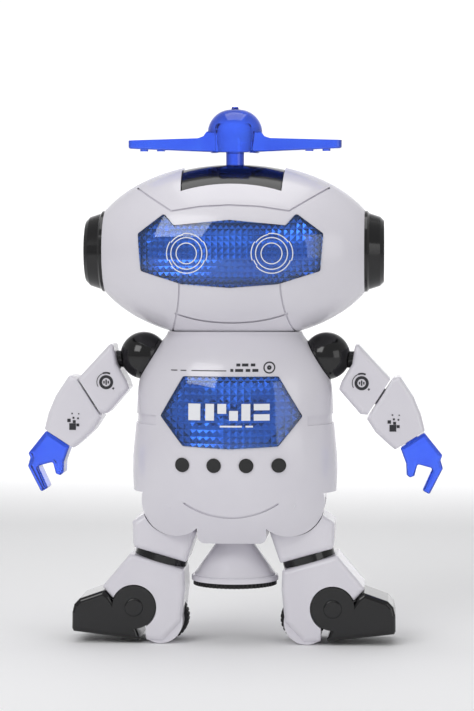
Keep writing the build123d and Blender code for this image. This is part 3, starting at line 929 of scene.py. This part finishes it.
@dataclass
class Arm:
    """One arm: ball, upper arm, forearm and clear claw, with their printed marks."""

    paint: Paintbox
    side: Side
    shaft_end: float = 6.0
    badge: tuple[float, float] = (14.9, -10.9)
    badge_arcs: tuple[tuple[float, float, float, float], ...] = (
        (1.75, 2.95, 0.0, FULL_TURN),
        (3.75, 4.05, 150.0, 100.0),
        (3.6, 4.3, 250.0, 45.0),
        (3.6, 4.3, 35.0, 12.0),
    )
    badge_bars: tuple[tuple[float, float], ...] = ((-0.9, 1.1), (0.0, 2.2), (0.9, 1.1))
    bar_width: float = 0.55
    pixels: tuple[float, float] = (28.5, -27.3)
    squares: tuple[Point, ...] = (
        (-0.6, -2.3, 2.8),
        (-2.1, 0.3, 1.4),
        (0.1, -0.2, 1.2),
        (1.6, -1.6, 1.2),
        (-0.2, 1.4, 0.8),
        (1.7, 1.2, 0.7),
        (-0.8, 3.2, 0.6),
        (2.0, 3.1, 0.5),
    )

    def build(self) -> list[bpy.types.Object]:
        """Dress the arm and print its marks.

        Returns:
            The prints.
        """
        label = self.side.name.lower()
        self.paint.dress_nodes(BLACK_ABS, f"{label}_shoulder_ball")
        for half in ("front", "rear"):
            self.paint.dress_nodes(WHITE_ABS, f"{label}_upper_arm_{half}", f"{label}_forearm_{half}")
        self.paint.dress_nodes(BLUE_PC, f"{label}_hand")
        return [self.add_badge(label), self.add_pixels(label)]

    def place(self, spot: tuple[float, float]) -> tuple[float, float]:
        """Front-view place of a spot given from the shoulder.

        Args:
            spot: outward and upward distances in millimetres.

        Returns:
            Across and up in millimetres.
        """
        shaft = centre_of("arm_shaft")
        reach = size_of("arm_shaft").x / 2 - self.shaft_end
        return (self.side.value * (reach + spot[0]), shaft.z + spot[1])

    def add_badge(self, label: str) -> bpy.types.Object:
        """Print a thick ring with bars in it and a broken ring round it.

        Args:
            label: left or right.

        Returns:
            The print.
        """
        x, z = self.place(self.badge)
        parts = [flat_ring("badge", x, z, *arc) for arc in self.badge_arcs]
        parts += [
            flat_panel("badge", x + shift, z, self.bar_width, high, cuts=1)
            for shift, high in self.badge_bars
        ]
        badge = joined(parts, f"{label}_arm_badge")
        fit_print(badge, f"{label}_upper_arm_front")
        self.paint.dress(badge, DARK_INK)
        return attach(badge, "arms")

    def add_pixels(self, label: str) -> bpy.types.Object:
        """Print a scatter of small squares on the forearm.

        Args:
            label: left or right.

        Returns:
            The print.
        """
        x, z = self.place(self.pixels)
        parts = [
            flat_panel("pixel", x + across, z + up, size, size, cuts=1)
            for across, up, size in self.squares
        ]
        pixels = joined(parts, f"{label}_forearm_pixels")
        fit_print(pixels, f"{label}_forearm_front")
        self.paint.dress(pixels, DARK_INK)
        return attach(pixels, f"{label}_forearm_body")


@dataclass
class Leg:
    """One leg: thigh, band, shin, shoe and heel wheel."""

    paint: Paintbox
    side: Side

    def build(self) -> list[bpy.types.Object]:
        """Dress the leg.

        Returns:
            No new pieces.
        """
        label = self.side.name.lower()
        self.paint.dress_nodes(WHITE_ABS, f"{label}_thigh", f"{label}_shin_front", f"{label}_shin_rear")
        self.paint.dress_nodes(BLACK_ABS, f"{label}_knee_band", f"{label}_shoe")
        self.paint.dress_nodes(RUBBER, f"{label}_heel_wheel")
        return []


@dataclass
class Base:
    """Cone, toothed ring, plate and the carriage that carries them."""

    paint: Paintbox

    def build(self) -> list[bpy.types.Object]:
        """Dress the base.

        Returns:
            No new pieces.
        """
        self.paint.dress_nodes(WHITE_ABS, "base_cone")
        self.paint.dress_nodes(RUBBER, "grip_ring")
        self.paint.dress_nodes(GREY_ABS, "base_plate", "lift_carriage")
        self.paint.dress_nodes(NICKEL, "spin_shaft", "spin_motor")
        self.paint.dress_nodes(NYLON, "spin_gear", "spin_pinion")
        return []


# ---------------------------------------------------------------- studio
@dataclass
class Lamp:
    """One soft area light, aimed at the middle of the robot."""

    name: str
    place: Point
    size: float
    power: float
    aim: Point = (0.0, 0.0, 0.11)
    colour: str = "#FFFFFF"

    def build(self) -> bpy.types.Object:
        """Hang the lamp.

        Returns:
            The light object.
        """
        start_fresh()
        bpy.ops.object.light_add(type="AREA", location=self.place)
        lamp = bpy.context.object
        lamp.name = self.name
        lamp.data.shape = "SQUARE"
        lamp.data.size = self.size
        lamp.data.energy = self.power
        lamp.data.color = srgb(self.colour)[:3]
        lamp.rotation_euler = (Vector(self.aim) - Vector(self.place)).to_track_quat("-Z", "Y").to_euler()
        return lamp


@dataclass
class Studio:
    """Pale floor and backdrop, soft lights and the camera."""

    azimuth: float = 4.0
    distance: float = 1.0
    eye_height: float = 0.165
    aim: Point = (0.0008, 0.0, 0.1202)
    lens: float = 120.4
    floor_size: float = 6.0
    floor_place: Point = (0.0, -0.8, -0.0002)
    backdrop_height: float = 3.0
    backdrop_curve: float = 1.2
    paper_colour: str = "#FAFAFB"
    paper_tooth_mm: float = 1000.0 / 90.0
    air_strength: float = 0.42
    lamps: list[Lamp] = field(
        default_factory=lambda: [
            Lamp("key_softbox", (-0.5, -0.8, 0.75), 0.55, 3.4),
            Lamp("fill_softbox", (0.9, -0.7, 0.3), 0.6, 1.4),
            Lamp("top_softbox", (0.0, 0.0, 0.95), 0.7, 2.6),
            Lamp("paper_softbox", (0.0, 0.9, 0.9), 1.0, 11.0, aim=(0.0, 2.2, 0.2)),
        ]
    )

    def add_floor(self) -> bpy.types.Object:
        """Lay a pale floor that curves up into the backdrop.

        Returns:
            The floor.
        """
        start_fresh()
        bpy.ops.mesh.primitive_plane_add(size=self.floor_size, location=self.floor_place)
        floor = seat(name_new("floor"))
        in_edit(floor, "EDGE")
        bpy.ops.object.mode_set(mode="OBJECT")
        for edge in floor.data.edges:
            edge.select = all(floor.data.vertices[i].co.y > 0 for i in edge.vertices)
        bpy.ops.object.mode_set(mode="EDIT")
        bpy.ops.mesh.extrude_region_move(TRANSFORM_OT_translate={"value": (0, 0, self.backdrop_height)})
        bpy.ops.object.mode_set(mode="OBJECT")
        for edge in floor.data.edges:
            low, high = (floor.data.vertices[i].co for i in edge.vertices)
            edge.select = low.y > 0 and high.y > 0 and max(low.z, high.z) < 1
        bpy.ops.object.mode_set(mode="EDIT")
        bpy.ops.mesh.bevel(offset=self.backdrop_curve, offset_type="OFFSET", segments=16, affect="EDGES")
        bpy.ops.object.mode_set(mode="OBJECT")
        bpy.ops.object.shade_smooth()
        material, tree, shader = new_material("studio_paper")
        place = add_node(tree, "ShaderNodeTexCoord", {}, {}).outputs["Object"]
        vary_gloss(tree, shader, add_noise(tree, place, self.paper_tooth_mm, 3.0), 0.7, 0.85)
        shader.inputs["Base Color"].default_value = srgb(self.paper_colour)
        floor.data.materials.append(material)
        return floor

    def add_camera(self) -> bpy.types.Object:
        """Stand the camera in front of the robot.

        Returns:
            The camera.
        """
        turn = math.radians(self.azimuth)
        place = Vector((self.distance * math.sin(turn), -self.distance * math.cos(turn), self.eye_height))
        start_fresh()
        bpy.ops.object.camera_add(location=place)
        camera = bpy.context.object
        camera.name = "camera"
        camera.data.lens = self.lens
        camera.rotation_euler = (Vector(self.aim) - place).to_track_quat("-Z", "Y").to_euler()
        bpy.context.scene.camera = camera
        return camera

    def build(self) -> None:
        """Set up floor, world, lamps and camera."""
        self.add_camera()
        self.add_floor()
        world = bpy.data.worlds.new("studio_air")
        world.use_nodes = True
        sky = world.node_tree.nodes["Background"]
        sky.inputs["Color"].default_value = srgb("#FFFFFF")
        sky.inputs["Strength"].default_value = self.air_strength
        bpy.context.scene.world = world
        bpy.context.scene.view_settings.view_transform = "Standard"
        for lamp in self.lamps:
            lamp.build()


def main() -> None:
    """Build the studio and every sub-assembly."""
    Studio().build()
    paint = Paintbox()
    assemblies = [Head(paint), Rotor(paint), Torso(paint), Base(paint)]
    assemblies += [Arm(paint, side) for side in Side]
    assemblies += [Leg(paint, side) for side in Side]
    for assembly in assemblies:
        pieces = assembly.build()
        names = ", ".join(piece.name for piece in pieces) or "carried-over nodes only"
        log.info("%s: %s", type(assembly).__name__, names)


if __name__ == "__main__":
    main()
